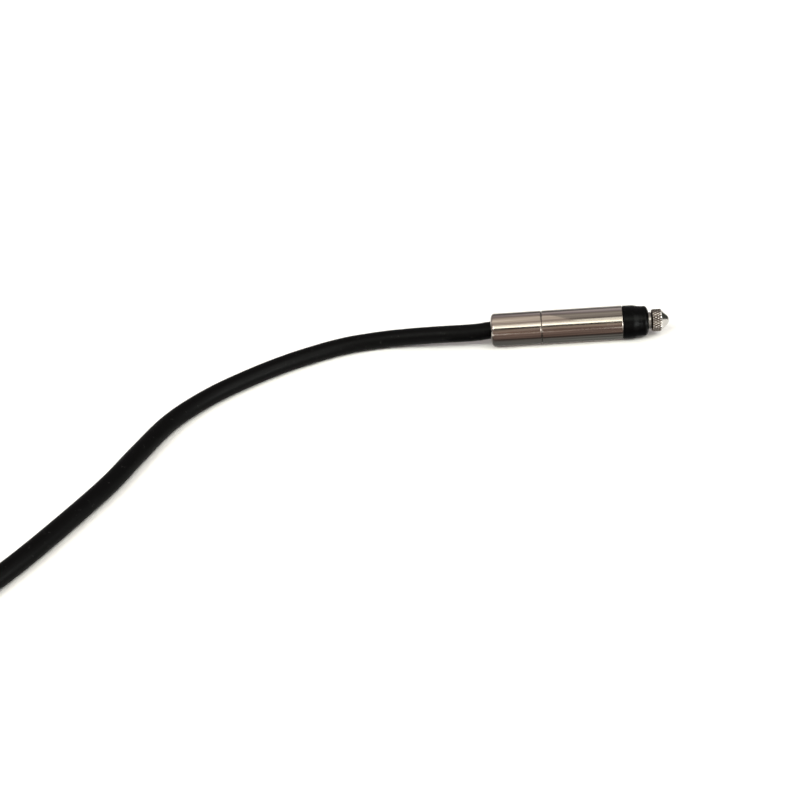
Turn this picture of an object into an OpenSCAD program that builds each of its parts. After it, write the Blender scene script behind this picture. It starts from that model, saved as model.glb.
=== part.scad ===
// Contact displacement sensor: a slim gauging probe with a sprung, ball guided plunger,
// a rubber boot, a knurled ball-tipped contact and a cable with a round plug.
// Millimetres. It lies on its side on the plane z = 0, and +X runs along it towards the tip.
// Stations along the probe are counted from the rear end of the barrel.

/* [Barrel] */
// Diameter of the barrel, which a clamp holds
body_d = 8; // [7.5:0.1:10]
// Length of the rear sleeve
rear_len = 12; // [11:0.5:16]
// Length of the front tube that shows
front_len = 19; // [19:0.5:26]
// Rounding of the rear edge
rear_round = 0.9; // [0.3:0.1:1.2]
// Chamfer on each side of the seam between sleeve and tube
seam_chamfer = 0.15; // [0.05:0.05:0.3]
// Chamfer on the front edge of the tube
front_chamfer = 0.25; // [0.1:0.05:0.4]
// Wall of the rear sleeve round the spigot
sleeve_wall = 0.4; // [0.3:0.05:0.6]
// Thickness of the sleeve's rear wall
rear_wall = 2.5; // [2:0.1:3]
// Length of the spigot that joins tube and sleeve
spigot_len = 3; // [2.5:0.1:4]

/* [Plunger and contact] */
// Diameter of the plunger
plunger_d = 4; // [3.6:0.1:4.8]
// Full stroke of the plunger
stroke = 1.6; // [1:0.1:2]
// Rod that shows between boot and contact
rod_gap = 0.65; // [0.4:0.05:1]
// Diameter over the knurl of the contact
knurl_d = 5.3; // [5:0.1:6.3]
// Length of the knurled band with its rear chamfer
knurl_len = 2.15; // [1.8:0.05:3]
// Chamfer at the rear of the knurl
knurl_chamfer = 0.35; // [0.2:0.05:0.5]
// Number of knurl teeth round the contact
knurl_teeth = 26; // [20:1:30]
// Depth of the knurl
knurl_depth = 0.25; // [0.1:0.01:0.3]
// Angle of the knurl's grooves to the axis
knurl_angle = 30; // [25:1:45]
// Diameter of the hard ball in the contact
ball_d = 3; // [2:0.1:3.4]
// Diameter of the contact's threaded stud
stud_d = 2.4; // [2:0.1:2.5]
// Length of the contact's threaded stud
stud_len = 3.9; // [3:0.1:4.5]

/* [Boot] */
// Length of the boot
boot_len = 5.9; // [5.5:0.1:7.5]
// Wall of the boot
boot_wall = 0.55; // [0.4:0.05:0.7]
// How far the boot stays inside the barrel's diameter
boot_inset = 0.08; // [0.05:0.01:0.2]
// Draft of the boot over its whole length
boot_draft = 0.06; // [0.03:0.01:0.15]
// Length of the neck that carries the boot
neck_len = 1.6; // [1.2:0.1:2]
// How deep the nose bush sits in the tube
nose_depth = 1.8; // [1.4:0.1:2.4]

/* [Ball guide] */
// Diameter of the guide balls
guide_ball_d = 0.98; // [0.8:0.02:1.18]
// Rows of guide balls
ball_rows = 3; // [2:1:3]
// Guide balls in each row
balls_per_row = 6; // [4:1:7]
// Distance between rows
row_pitch = 1.8; // [1.4:0.1:2]
// Length of the ball cage
cage_len = 5.6; // [5.2:0.1:7]
// Wall of the ball cage
cage_wall = 0.66; // [0.5:0.02:0.8]

/* [Coils and spring] */
// Bore of the front tube behind the guide
coil_bore_d = 5.44; // [5.2:0.02:5.8]
// Length of the coil former
coil_len = 7.2; // [6.4:0.1:8]
// Diameter of the former's bore, in which the core moves
former_bore_d = 2.6; // [2.4:0.1:2.8]
// Wall of the former
former_wall = 0.35; // [0.25:0.05:0.45]
// Thickness of the former's flanges
flange_t = 0.5; // [0.3:0.05:0.6]
// Wall of the screening tube round the coils
shield_wall = 0.18; // [0.12:0.02:0.24]
// Diameter of the ferrite core
core_d = 2; // [1.6:0.1:2.2]
// Length of the ferrite core
core_len = 4; // [3:0.1:4.4]
// Diameter of the rod that carries the core
core_rod_d = 1; // [0.8:0.05:1.2]
// Outer diameter of the return spring
spring_d = 2.6; // [2.4:0.05:2.8]
// Wire of the return spring
spring_wire = 0.3; // [0.2:0.02:0.34]
// Turns of the return spring
spring_turns = 8; // [6:1:9]
// Depth of the plunger's pocket for the spring
pocket_depth = 4.2; // [3.6:0.1:4.8]
// Diameter of the anti-rotation pin
pin_d = 0.8; // [0.6:0.05:1]
// Thickness of the spring seat
seat_t = 0.4; // [0.3:0.05:0.6]

/* [Cable] */
// Diameter of the cable
cable_d = 4.2; // [3.6:0.1:5.1]
// Thickness of the rubber seal round the cable
seal_len = 1.5; // [1:0.1:1.8]
// Length of the crimped ferrule on the cable
ferrule_len = 1.8; // [1.2:0.1:2]
// Wall of the ferrule
ferrule_wall = 0.7; // [0.4:0.05:0.8]
// Mean diameter of the stored coil of cable
coil_mean_d = 48.8; // [44:0.4:56]
// Turns of cable beside each other in the coil
coil_columns = 6; // [4:1:7]
// Layers of cable in the coil
coil_layers = 2; // [1:1:3]
// Width of the two ties round the coil
tie_w = 3.6; // [2.5:0.1:4.8]
// Thickness of the ties
tie_t = 0.6; // [0.5:0.1:1]

/* [Plug] */
// Diameter of the plug's grip
grip_d = 15.5; // [14.6:0.1:18]
// Length of the plug's grip
grip_len = 30; // [24:1:36]
// Outer diameter of the plug's metal shell
shell_d = 13.2; // [12.6:0.1:13.6]
// Length of the shell that shows
shell_len = 9.5; // [8:0.1:11]
// Wall of the shell
shell_wall = 0.35; // [0.3:0.05:0.5]
// Diameter of the plug's pins
contact_pin_d = 1.45; // [1.2:0.05:1.6]
// Number of pins
pin_count = 5; // [3:1:5]
// Diameter of the circle the pins stand on
pin_circle_d = 7; // [6:0.1:7.4]
// Length of the bend relief
relief_len = 20; // [16:1:26]

/* [Hidden] */

$fn = 64;
// How far a cutting tool reaches past the face it cuts
over = 0.5;
// Radial clearance of parts that are pressed or screwed together
fit = 0.02;
// Radial clearance of the balls in their races
ball_fit = 0.01;
// Radial clearance of the plunger in the stop bush
slide_fit = 0.05;
// Radial clearance round the plunger where nothing touches it
free_fit = 0.15;
// Gap between faces that meet end to end
face_gap = 0.02;

// The barrel from outside to inside
body_r = body_d / 2;
axis_h = body_r;
counterbore_r = body_r - sleeve_wall;
spigot_r = counterbore_r - fit;
coil_bore_r = coil_bore_d / 2;
plunger_r = plunger_d / 2;
ball_ring_r = plunger_r + ball_fit + guide_ball_d / 2;
race_r = ball_ring_r + guide_ball_d / 2 + ball_fit;
nose_seat_step = 0.2;
nose_seat_r = race_r + nose_seat_step;
neck_step = 0.05;
neck_r = nose_seat_r - neck_step;

// Stations along the outside
seam_s = rear_len;
tube_front_s = rear_len + front_len;
neck_front_s = tube_front_s + neck_len;
boot_front_s = tube_front_s + boot_len;
tip_s = boot_front_s + rod_gap;
knurl_front_s = tip_s + knurl_len;
tip_ball_r = ball_d / 2;
cone_angle = 45;
cone_end_r = tip_ball_r * sin(cone_angle);
cone_len = (knurl_d / 2 - cone_end_r) / tan(cone_angle);
tip_ball_s = knurl_front_s + cone_len - tip_ball_r * cos(cone_angle);
total = tip_ball_s + tip_ball_r;

// The knurl: how far its peaks would stand above the band, so that each keeps a small flat,
// and the distance between its rows of peaks, which follows from the angle of the grooves
knurl_land = 0.03;
knurl_row = PI * knurl_d / knurl_teeth / tan(knurl_angle) / 2;

// Stations inside, counted back from the nose
nose_rear_s = tube_front_s - nose_depth;
cage_play = 0.3;
cage_front_s = nose_rear_s - cage_play;
cage_rear_s = cage_front_s - cage_len;
race_rear_s = cage_rear_s - stroke / 2 - cage_play;
web_t = 0.6;
web_rear_s = race_rear_s - web_t;
bush_front_s = web_rear_s - face_gap;
bush_land = 0.8;
bush_rear_land = 0.6;
slot_play = 0.02;
slot_over = 0.1;
slot_front_s = bush_front_s - bush_land;
pin_s = slot_front_s - slot_play - pin_d / 2;
slot_rear_s = pin_s - stroke - pin_d / 2 - slot_over;
bush_rear_s = slot_rear_s - bush_rear_land;
plunger_tail = 0.9;
plunger_rear_s = pin_s - plunger_tail;
seat_front_s = bush_rear_s - face_gap;
seat_rear_s = seat_front_s - seat_t;
former_front_s = seat_rear_s - face_gap;
former_rear_s = former_front_s - coil_len;
former_mid_s = (former_front_s + former_rear_s) / 2;
disc_t = 0.6;
disc_gap = 0.4;
disc_front_s = former_rear_s - disc_gap;
disc_rear_s = disc_front_s - disc_t;
pocket_floor_s = plunger_rear_s + pocket_depth;
core_mid_s = former_mid_s + stroke / 2;
core_rear_s = core_mid_s - core_len / 2;
core_front_s = core_mid_s + core_len / 2;
core_rod_tail = 0.3;
core_rod_hold = 2.2;

// Plunger details
spring_play = 0.1;
pocket_r = spring_d / 2 + spring_play;
plunger_edge = 0.15;
rod_play = 0.2;
pin_inner_gap = 0.03;
stud_hole_r = stud_d / 2 + slide_fit;
stud_hole_extra = 0.3;
lip_groove_depth = 0.22;
lip_groove_w = 0.5;
lip_edge = 0.6;
lip_groove_s = boot_front_s - lip_edge;

// The boot
boot_r = body_r - boot_inset;
boot_step = 0.24;
boot_step_at = 2.2;
boot_step_run = 1.5;
boot_taper = 0.1;
boot_groove = 0.03;
boot_groove_at = 4.4;
boot_groove_run = 0.5;
boot_nose_run = 0.95;
boot_nose_drop = 1.5;
boot_front_wall = 0.5;
boot_steps = 30;
bead_s = 0.7;
bead_w = 0.5;
bead_depth = 0.25;

// Spigot seal
seal_groove_w = 0.7;
seal_groove_depth = 0.42;
seal_groove_back = 1.6;
seal_groove_s = seam_s - seal_groove_back;
ring_squash = 0.01;

// Cable entry
cable_r = cable_d / 2;
cable_play = 0.1;
cable_hole_r = cable_r + cable_play;
chamber_step = 0.3;
chamber_r = counterbore_r - chamber_step;
crimp_depth = 0.2;
crimp_w = 0.6;
seal_rear_s = rear_wall + face_gap;
seal_front_s = seal_rear_s + seal_len;
ferrule_rear_s = seal_front_s + face_gap;
ferrule_front_s = ferrule_rear_s + ferrule_len;
cable_end_s = ferrule_front_s;

// Wires and pins inside
wire_count = 3;
wire_d = 0.8;
wire_ring_r = 1.1;
solder_pin_d = 0.4;
solder_pin_out = 0.7;
wire_bow = 0.25;
wire_sides = 8;
wire_steps = 8;

// Cord route from the rear end of the barrel: how far behind it, how far to the left,
// and the share of the drop from the axis to the floor that is still to go
exit_x = -total / 2;
cord_route = [
    [-3, -0.2, 0.9], [-6, -0.2, 0.85], [-11, 0.1, 0.77], [-16, 0.7, 0.56], [-21, 1.3, 0.31],
    [-26, 1.5, 0.12],
    [-31, 1.1, 0], [-36, 0, 0], [-42, -2.3, 0], [-50, -6.4, 0], [-58.5, -12.2, 0],
    [-66.7, -19.4, 0], [-73.4, -28.4, 0], [-77.6, -39.6, 0], [-81, -50, 0], [-86, -61, 0],
    [-91.5, -71.8, 0], [-97, -81, 0], [-102, -89.5, 0], [-107, -98, 0], [-111.6, -105.8, 0]
];
cord_sides = 10;
coil_centre = [-141.9, -87.9];
turn_gap = 0.05;
// Room between the coil and the ties under it
tie_lift = 0.2;
turn_pitch = cable_d + turn_gap;
turn_out_r = coil_mean_d / 2 + (coil_columns - 1) * turn_pitch / 2;
turn_in_r = coil_mean_d / 2 - (coil_columns - 1) * turn_pitch / 2;
coil_h = coil_layers * cable_d;
coil_low_z = tie_t + tie_lift;
turn_low_z = coil_low_z + cable_r;
turn_top_z = coil_low_z + coil_h - cable_r;
tie_gap = 0.18;
tie_head_w = 5;
tie_head_t = 2.4;
tie_head_over = 0.4;
tie_turns = [50, 230];

// The plug lies beside the coil, on the line along which the cable leaves it
grip_r = grip_d / 2;
plug_x = exit_x + coil_centre[0] - turn_out_r;
lead_run = 30;
plug_y = coil_centre[1] + lead_run;
plug_h = grip_r;
shell_r = shell_d / 2;
shell_in_r = shell_r - shell_wall;
shell_hold = 8;
shell_step = 0.3;
insert_t = 2.1;
insert_gap = 0.05;
insert_depth = 7;
key_w = 2.2;
key_depth = 1;
contact_pin_inset = 1.2;
contact_pin_back = 2.5;
contact_pin_point = 0.36;
grip_front_s = relief_len + grip_len;
shell_front_s = grip_front_s + shell_len;
relief_hold = 5;
relief_core_wall = 1;
lead_hold = 4;
lead_steps = 5;
lead_end_s = relief_len + relief_hold + lead_hold;

// Places what follows at a station on the probe's axis, with its own z along +X
module at_station(s) {
    translate([exit_x + s, 0, axis_h])
        rotate([0, 90, 0])
            children();
}

// Places what follows at a station on the plug's axis, with its own z along +Y
module at_plug(s) {
    translate([plug_x, plug_y + s, plug_h])
        rotate([-90, 0, 0])
            children();
}

// A straight bore from one height to another
module bore(z0, z1, r) {
    translate([0, 0, z0])
        cylinder(h = z1 - z0, r = r);
}

// A plain ring or sleeve that starts at z = 0
module ring(h, r_out, r_in) {
    difference() {
        cylinder(h = h, r = r_out);
        bore(-over, h + over, r_in);
    }
}

// A ring groove cut from outside down to a radius
module ring_groove(z0, w, r_floor, r_out) {
    translate([0, 0, z0])
        ring(w, r_out + over, r_floor);
}

function unit(v) = v / norm(v);
function ease(t) = t <= 0 ? 0 : t >= 1 ? 1 : t * t * (3 - 2 * t);

// The mean direction of a path at one of its points
function path_way(p, i) =
    unit(p[min(i + 1, len(p) - 1)] - p[max(i - 1, 0)]);
function side_way(t) = unit(cross(t, [0, 0, 1]));

// A round tube swept along points, closed at both ends
module swept_tube(p, r, sides) {
    n = len(p);
    rings = [
        for (i = [0:n - 1])
            let (t = path_way(p, i), a = side_way(t), b = cross(a, t))
                for (k = [0:sides - 1])
                    p[i] + r * (cos(360 * k / sides) * a + sin(360 * k / sides) * b)
    ];
    walls = [
        for (i = [0:n - 2])
            for (k = [0:sides - 1])
                [
                    i * sides + k,
                    i * sides + (k + 1) % sides,
                    (i + 1) * sides + (k + 1) % sides,
                    (i + 1) * sides + k
                ]
    ];
    rear = [[for (k = [sides - 1:-1:0]) k]];
    front = [[for (k = [0:sides - 1]) (n - 1) * sides + k]];
    polyhedron(points = rings, faces = concat(walls, rear, front), convexity = 6);
}

module rear_sleeve() {
    color("silver")
    at_station(0)
    difference() {
        rotate_extrude()
        union() {
            square([body_r - rear_round, rear_len]);
            translate([0, rear_round])
                square([body_r, rear_len - rear_round - seam_chamfer]);
            polygon([
                [0, rear_len - seam_chamfer],
                [body_r, rear_len - seam_chamfer],
                [body_r - seam_chamfer, rear_len],
                [0, rear_len]
            ]);
            translate([body_r - rear_round, rear_round])
                circle(r = rear_round);
        }
        bore(-over, rear_wall + over, cable_hole_r);
        bore(rear_wall, rear_len, chamber_r);
        bore(rear_len - spigot_len, rear_len + over, counterbore_r);
    }
}

module front_tube() {
    spigot_rear_s = seam_s - spigot_len + face_gap;
    tube_len = tube_front_s - spigot_rear_s;
    shoulder = seam_s - spigot_rear_s;
    color("gainsboro")
    at_station(spigot_rear_s)
    difference() {
        rotate_extrude()
        polygon([
            [0, 0],
            [spigot_r, 0],
            [spigot_r, shoulder + face_gap],
            [body_r - seam_chamfer, shoulder + face_gap],
            [body_r, shoulder + face_gap + seam_chamfer],
            [body_r, tube_len - front_chamfer],
            [body_r - front_chamfer, tube_len],
            [0, tube_len]
        ]);
        bore(-over, web_rear_s - spigot_rear_s, coil_bore_r);
        bore(0, tube_len, plunger_r + free_fit);
        bore(race_rear_s - spigot_rear_s, tube_len, race_r);
        bore(nose_rear_s - spigot_rear_s, tube_len + over, nose_seat_r);
        ring_groove(seal_groove_s - spigot_rear_s, seal_groove_w, spigot_r - seal_groove_depth, spigot_r);
    }
}

module nose_bush() {
    seated = nose_depth - face_gap;
    color("silver")
    at_station(nose_rear_s + face_gap)
    difference() {
        union() {
            cylinder(h = seated, r = nose_seat_r - fit);
            translate([0, 0, seated])
                cylinder(h = neck_len, r = neck_r);
        }
        bore(-over, seated + neck_len + over, plunger_r + free_fit);
        ring_groove(seated + bead_s, bead_w, neck_r - bead_depth, neck_r);
    }
}

// Outer radius of the boot at a distance from its rear edge
function boot_nose(t) =
    boot_nose_drop * (1 - sqrt(1 - pow(min(1, max(0, (t - boot_len) / boot_nose_run + 1)), 2)));
function boot_outer(t) =
    boot_r
    - boot_draft * t / boot_len
    - boot_step * ease((t - boot_step_at) / boot_step_run)
    - boot_taper * ease((t - boot_step_at) / (boot_len - boot_step_at))
    - boot_groove * max(0, 1 - pow((t - boot_groove_at) / boot_groove_run, 2))
    - boot_nose(t);

// The boot: its rear grips the neck's groove with a bead, and its front grips the plunger's
module boot() {
    neck_hole_r = neck_r + fit;
    free_start = neck_len + face_gap;
    inner_end = boot_len - boot_front_wall;
    lip_s = lip_groove_s - tube_front_s;
    color([0.09, 0.09, 0.1])
    at_station(tube_front_s)
    rotate_extrude()
    difference() {
        polygon(concat(
            [[0, face_gap], [boot_outer(0), face_gap]],
            [for (i = [1:boot_steps]) let (t = boot_len * i / boot_steps) [boot_outer(t), t]],
            [[0, boot_len]]
        ));
        square([neck_hole_r, bead_s + face_gap]);
        square([neck_hole_r - bead_depth, free_start]);
        translate([0, bead_s + bead_w - face_gap])
            square([neck_hole_r, free_start + face_gap - bead_s - bead_w]);
        polygon(concat(
            [[0, free_start], [neck_hole_r, free_start]],
            [
                for (i = [1:boot_steps])
                    let (t = free_start + (inner_end - free_start) * i / boot_steps)
                        [max(plunger_r + free_fit, boot_outer(t + boot_wall * t / boot_len) - boot_wall), t]
            ],
            [[0, inner_end]]
        ));
        square([plunger_r + fit, lip_s + face_gap]);
        square([plunger_r - lip_groove_depth + fit, boot_len]);
        translate([0, lip_s + lip_groove_w - face_gap])
            square([plunger_r + fit, boot_len]);
    }
}

module stop_bush() {
    bush_len = bush_front_s - bush_rear_s;
    slot_w = pin_d + 2 * slide_fit;
    color("darkkhaki")
    at_station(bush_rear_s)
    difference() {
        ring(bush_len, coil_bore_r - fit, plunger_r + slide_fit);
        translate([-coil_bore_r - over, -slot_w / 2, slot_rear_s - bush_rear_s])
            cube([coil_bore_r + over, slot_w, slot_front_s - slot_rear_s]);
    }
}

module spring_seat() {
    color("gray")
    at_station(seat_rear_s)
    ring(seat_t, coil_bore_r - fit, core_rod_d / 2 + rod_play);
}

// Pitch of the spring's closed end turns, in wire diameters
closed_pitch = 1.1;
spring_steps = 14;
spring_sides = 6;

// Height of the spring's wire after u turns, with one closed turn at each end
function spring_height(u, run) =
    let (closed = spring_wire * closed_pitch)
    u < 1 ? u * closed
    : u > spring_turns - 1 ? run - (spring_turns - u) * closed
    : closed + (run - 2 * closed) * (u - 1) / (spring_turns - 2);

module return_spring() {
    wire_r = spring_wire / 2;
    wind_r = spring_d / 2 - wire_r;
    lift = wire_r + face_gap;
    run = pocket_floor_s - seat_front_s - 2 * lift;
    wire = [
        for (i = [0:spring_turns * spring_steps])
            let (u = i / spring_steps)
                [wind_r * cos(360 * u), wind_r * sin(360 * u), lift + spring_height(u, run)]
    ];
    color("lightsteelblue")
    at_station(seat_front_s)
    swept_tube(wire, wire_r, spring_sides);
}

module shield_tube() {
    color("slategray")
    at_station(former_rear_s)
    ring(coil_len, coil_bore_r - fit, coil_bore_r - fit - shield_wall);
}

module coil_former() {
    flange_r = coil_bore_r - 2 * fit - shield_wall;
    tube_r = former_bore_d / 2 + former_wall;
    color("ivory")
    at_station(former_rear_s)
    difference() {
        union() {
            cylinder(h = coil_len, r = tube_r);
            cylinder(h = flange_t, r = flange_r);
            translate([0, 0, (coil_len - flange_t) / 2])
                cylinder(h = flange_t, r = flange_r);
            translate([0, 0, coil_len - flange_t])
                cylinder(h = flange_t, r = flange_r);
        }
        bore(-over, coil_len + over, former_bore_d / 2);
    }
}

module winding() {
    room = (coil_len - 3 * flange_t) / 2;
    ring(room - 2 * face_gap, coil_bore_r - 4 * fit - shield_wall, former_bore_d / 2 + former_wall + fit);
}

module winding_front() {
    color("chocolate")
    at_station(former_mid_s + flange_t / 2 + face_gap)
    winding();
}

module winding_rear() {
    color("chocolate")
    at_station(former_rear_s + flange_t + face_gap)
    winding();
}

module terminal_disc() {
    color("seagreen")
    at_station(disc_rear_s)
    difference() {
        cylinder(h = disc_t, r = coil_bore_r - fit);
        for (k = [0:wire_count - 1])
            rotate([0, 0, 360 * k / wire_count])
                translate([wire_ring_r, 0, 0])
                    bore(-over, disc_t + over, solder_pin_d / 2 + fit);
    }
}

module solder_pins() {
    pin_len = disc_t + disc_gap - face_gap + solder_pin_out;
    color("gold")
    at_station(disc_rear_s - solder_pin_out)
    for (k = [0:wire_count - 1])
        rotate([0, 0, 360 * k / wire_count])
            translate([wire_ring_r, 0, 0])
                cylinder(h = pin_len, r = solder_pin_d / 2);
}

module lead_wires() {
    start_s = cable_end_s + face_gap;
    run = disc_rear_s - solder_pin_out - face_gap - start_s;
    color("firebrick")
    at_station(start_s)
    for (k = [0:wire_count - 1])
        rotate([0, 0, 360 * k / wire_count])
            rotate([0, -90, 0])
                swept_tube(
                    [
                        for (i = [0:wire_steps])
                            let (t = i / wire_steps, mid = min(1, max(0, (i - 1) / (wire_steps - 2))))
                                [run * t, 0, -wire_ring_r - wire_bow * pow(sin(180 * mid), 2)]
                    ],
                    wire_d / 2,
                    wire_sides
                );
}

module body_seal() {
    section_r = (seal_groove_depth + fit) / 2 - ring_squash;
    color([0.12, 0.12, 0.12])
    at_station(seal_groove_s + seal_groove_w / 2)
    rotate_extrude()
        translate([counterbore_r - ring_squash - section_r, 0])
            circle(r = section_r);
}

module cable_seal() {
    color([0.15, 0.15, 0.15])
    at_station(seal_rear_s)
    ring(seal_len, chamber_r - fit, cable_r + fit);
}

module cable_ferrule() {
    ferrule_r = cable_r + ferrule_wall;
    color("darkgoldenrod")
    at_station(ferrule_rear_s)
    difference() {
        cylinder(h = ferrule_len, r = ferrule_r);
        bore(-over, ferrule_len + over, cable_r + fit);
        ring_groove((ferrule_len - crimp_w) / 2, crimp_w, ferrule_r - crimp_depth, ferrule_r);
    }
}

module plunger() {
    plunger_len = tip_s - plunger_rear_s - face_gap;
    stud_hole = stud_len + stud_hole_extra;
    color("lightgray")
    at_station(plunger_rear_s)
    difference() {
        rotate_extrude()
        polygon([
            [0, 0],
            [plunger_r - plunger_edge, 0],
            [plunger_r, plunger_edge],
            [plunger_r, plunger_len - plunger_edge],
            [plunger_r - plunger_edge, plunger_len],
            [0, plunger_len]
        ]);
        bore(-over, pocket_depth, pocket_r);
        bore(pocket_depth - over, pocket_depth + core_rod_hold, core_rod_d / 2 + fit);
        bore(plunger_len - stud_hole, plunger_len + over, stud_hole_r);
        ring_groove(
            lip_groove_s - plunger_rear_s,
            lip_groove_w,
            plunger_r - lip_groove_depth,
            plunger_r
        );
        translate([0, 0, pin_s - plunger_rear_s])
            rotate([0, -90, 0])
                cylinder(h = plunger_d, r = pin_d / 2 + fit);
    }
}

module anti_rotation_pin() {
    pin_in_r = pocket_r + pin_inner_gap;
    pin_out_r = coil_bore_r - 4 * fit;
    color("dimgray")
    at_station(pin_s)
    rotate([0, -90, 0])
        translate([0, 0, pin_in_r])
            cylinder(h = pin_out_r - pin_in_r, r = pin_d / 2);
}

module core_rod() {
    rod_rear_s = core_rear_s - core_rod_tail;
    color("lightsteelblue")
    at_station(rod_rear_s)
    cylinder(h = pocket_floor_s + core_rod_hold - face_gap - rod_rear_s, r = core_rod_d / 2);
}

module ferrite_core() {
    color([0.25, 0.25, 0.27])
    at_station(core_rear_s)
    ring(core_len, core_d / 2, core_rod_d / 2 + fit);
}

// A solid band with a diamond knurl. Grooves of both hands cross at the low points of a
// lattice, and a pyramid stands between each four of them. The last row runs on straight.
module knurled_band(r_high, r_low, rows, length) {
    ring_points = 2 * knurl_teeth;
    lattice = [
        for (i = [0:rows + 1])
            let (z = i > rows ? length : i * knurl_row, level = min(i, rows))
                for (k = [0:ring_points - 1])
                    let (r = (k + level) % 2 == 0 ? r_low : r_high, a = 360 * k / ring_points)
                        [r * cos(a), r * sin(a), z]
    ];
    flanks = [
        for (i = [0:rows])
            for (k = [0:ring_points - 1])
                let (
                    here = i * ring_points + k,
                    beside = i * ring_points + (k + 1) % ring_points,
                    above = here + ring_points,
                    across = beside + ring_points
                )
                    for (
                        f = (k + i) % 2 == 0
                            ? [[here, across, beside], [here, above, across]]
                            : [[here, above, beside], [beside, above, across]]
                    )
                        f
    ];
    rear = [[for (k = [0:ring_points - 1]) k]];
    front = [[for (k = [ring_points - 1:-1:0]) (rows + 1) * ring_points + k]];
    polyhedron(points = lattice, faces = concat(flanks, rear, front), convexity = 8);
}

// The contact: a knurled band to turn it by, a cone that carries the ball, and a stud
module contact_tip() {
    knurl_r = knurl_d / 2;
    pocket_ball_r = tip_ball_r + ball_fit;
    tip_len = knurl_len + cone_len;
    rows = ceil((knurl_len + knurl_depth) / knurl_row) + 1;
    color("silver")
    at_station(tip_s)
    difference() {
        union() {
            intersection() {
                rotate_extrude()
                polygon([
                    [0, 0],
                    [knurl_r - knurl_chamfer, 0],
                    [knurl_r, knurl_chamfer],
                    [knurl_r, knurl_len],
                    [cone_end_r, tip_len],
                    [0, tip_len]
                ]);
                translate([0, 0, -knurl_row / 2])
                    knurled_band(
                        knurl_r + knurl_land,
                        knurl_r - knurl_depth,
                        rows,
                        tip_len + knurl_row
                    );
            }
            translate([0, 0, -stud_len])
                cylinder(h = stud_len + over, r = stud_d / 2);
        }
        translate([0, 0, tip_ball_s - tip_s])
            sphere(r = pocket_ball_r);
    }
}

module contact_ball() {
    color("gray")
    at_station(tip_ball_s)
    sphere(r = tip_ball_r);
}

// Places what follows at each guide ball, with its own z pointing out from the axis
module at_guide_balls() {
    first_row = (cage_len - (ball_rows - 1) * row_pitch) / 2;
    row_turn = 360 / balls_per_row / ball_rows;
    for (row = [0:ball_rows - 1])
        for (k = [0:balls_per_row - 1])
            translate([0, 0, first_row + row * row_pitch])
                rotate([0, 90, 360 * k / balls_per_row + row * row_turn])
                    children();
}

module ball_cage() {
    hole_play = 0.04;
    color("khaki")
    at_station(cage_rear_s)
    difference() {
        ring(cage_len, ball_ring_r + cage_wall / 2, ball_ring_r - cage_wall / 2);
        at_guide_balls()
            cylinder(h = race_r, r = guide_ball_d / 2 + hole_play);
    }
}

module guide_balls() {
    color("whitesmoke")
    at_station(cage_rear_s)
    at_guide_balls()
        translate([0, 0, ball_ring_r])
            sphere(r = guide_ball_d / 2);
}

module cable_run() {
    points = concat(
        [[exit_x + cable_end_s, 0, axis_h], [exit_x, 0, axis_h]],
        [for (p = cord_route) [exit_x + p[0], p[1], cable_r + p[2] * (axis_h - cable_r)]]
    );
    color([0.1, 0.1, 0.1])
    swept_tube(points, cable_r, cord_sides);
}

// Section of the coiled cable: a flat bundle with round corners
module bundle_section(grow) {
    r = cable_r + grow;
    left = turn_in_r;
    right = turn_out_r;
    low = turn_low_z;
    top = turn_top_z;
    translate([left - r, low])
        square([right - left + 2 * r, top - low]);
    translate([left, low - r])
        square([right - left, top - low + 2 * r]);
    for (x = [left, right])
        for (y = [low, top])
            translate([x, y])
                circle(r = r);
}

module cable_coil() {
    color([0.1, 0.1, 0.1])
    translate([exit_x + coil_centre[0], coil_centre[1], 0])
    rotate_extrude()
        bundle_section(0);
}

module cable_tie() {
    head_x = turn_out_r + cable_r + tie_gap + tie_t;
    rotate([90, 0, 0])
    translate([0, 0, -tie_w / 2])
    difference() {
        union() {
            linear_extrude(height = tie_w)
                bundle_section(tie_gap + tie_t);
            translate([head_x - tie_t, turn_top_z - tie_head_w / 2, -tie_head_over])
                cube([tie_head_t, tie_head_w, tie_w + 2 * tie_head_over]);
        }
        translate([0, 0, -over])
            linear_extrude(height = tie_w + 2 * over)
                bundle_section(tie_gap);
    }
}

module cable_ties() {
    color([0.16, 0.16, 0.17])
    translate([exit_x + coil_centre[0], coil_centre[1], 0])
    for (a = tie_turns)
        rotate([0, 0, a])
            cable_tie();
}

module cable_lead() {
    rise = plug_h - turn_top_z;
    points = concat(
        [
            for (i = [0:lead_steps])
                let (t = i / lead_steps)
                    [plug_x, coil_centre[1] + lead_run * t, turn_top_z + rise * ease(t)]
        ],
        [[plug_x, plug_y + lead_end_s, plug_h]]
    );
    color([0.1, 0.1, 0.1])
    swept_tube(points, cable_r, cord_sides);
}

module plug_body() {
    rear_r = 4.8;
    swell = 9;
    rib_count = 6;
    first_rib = 2;
    rib_w = 0.9;
    rib_pitch = 1.9;
    rib_depth = 0.45;
    edge = 0.8;
    color([0.13, 0.13, 0.14])
    at_plug(relief_len)
    difference() {
        rotate_extrude()
        polygon([
            [0, 0],
            [rear_r - edge / 2, 0],
            [rear_r, edge],
            [grip_r - edge / 2, swell],
            [grip_r, swell + edge],
            [grip_r, grip_len - edge],
            [grip_r - edge, grip_len],
            [0, grip_len]
        ]);
        for (k = [0:rib_count - 1])
            ring_groove(swell + first_rib + k * rib_pitch, rib_w, grip_r - rib_depth, grip_r);
        bore(-over, relief_hold + face_gap, cable_r + relief_core_wall + fit);
        bore(relief_hold, relief_hold + lead_hold, cable_r + fit);
        bore(grip_len - shell_hold - face_gap, grip_len + over, shell_r - shell_step + fit);
    }
}

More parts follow.
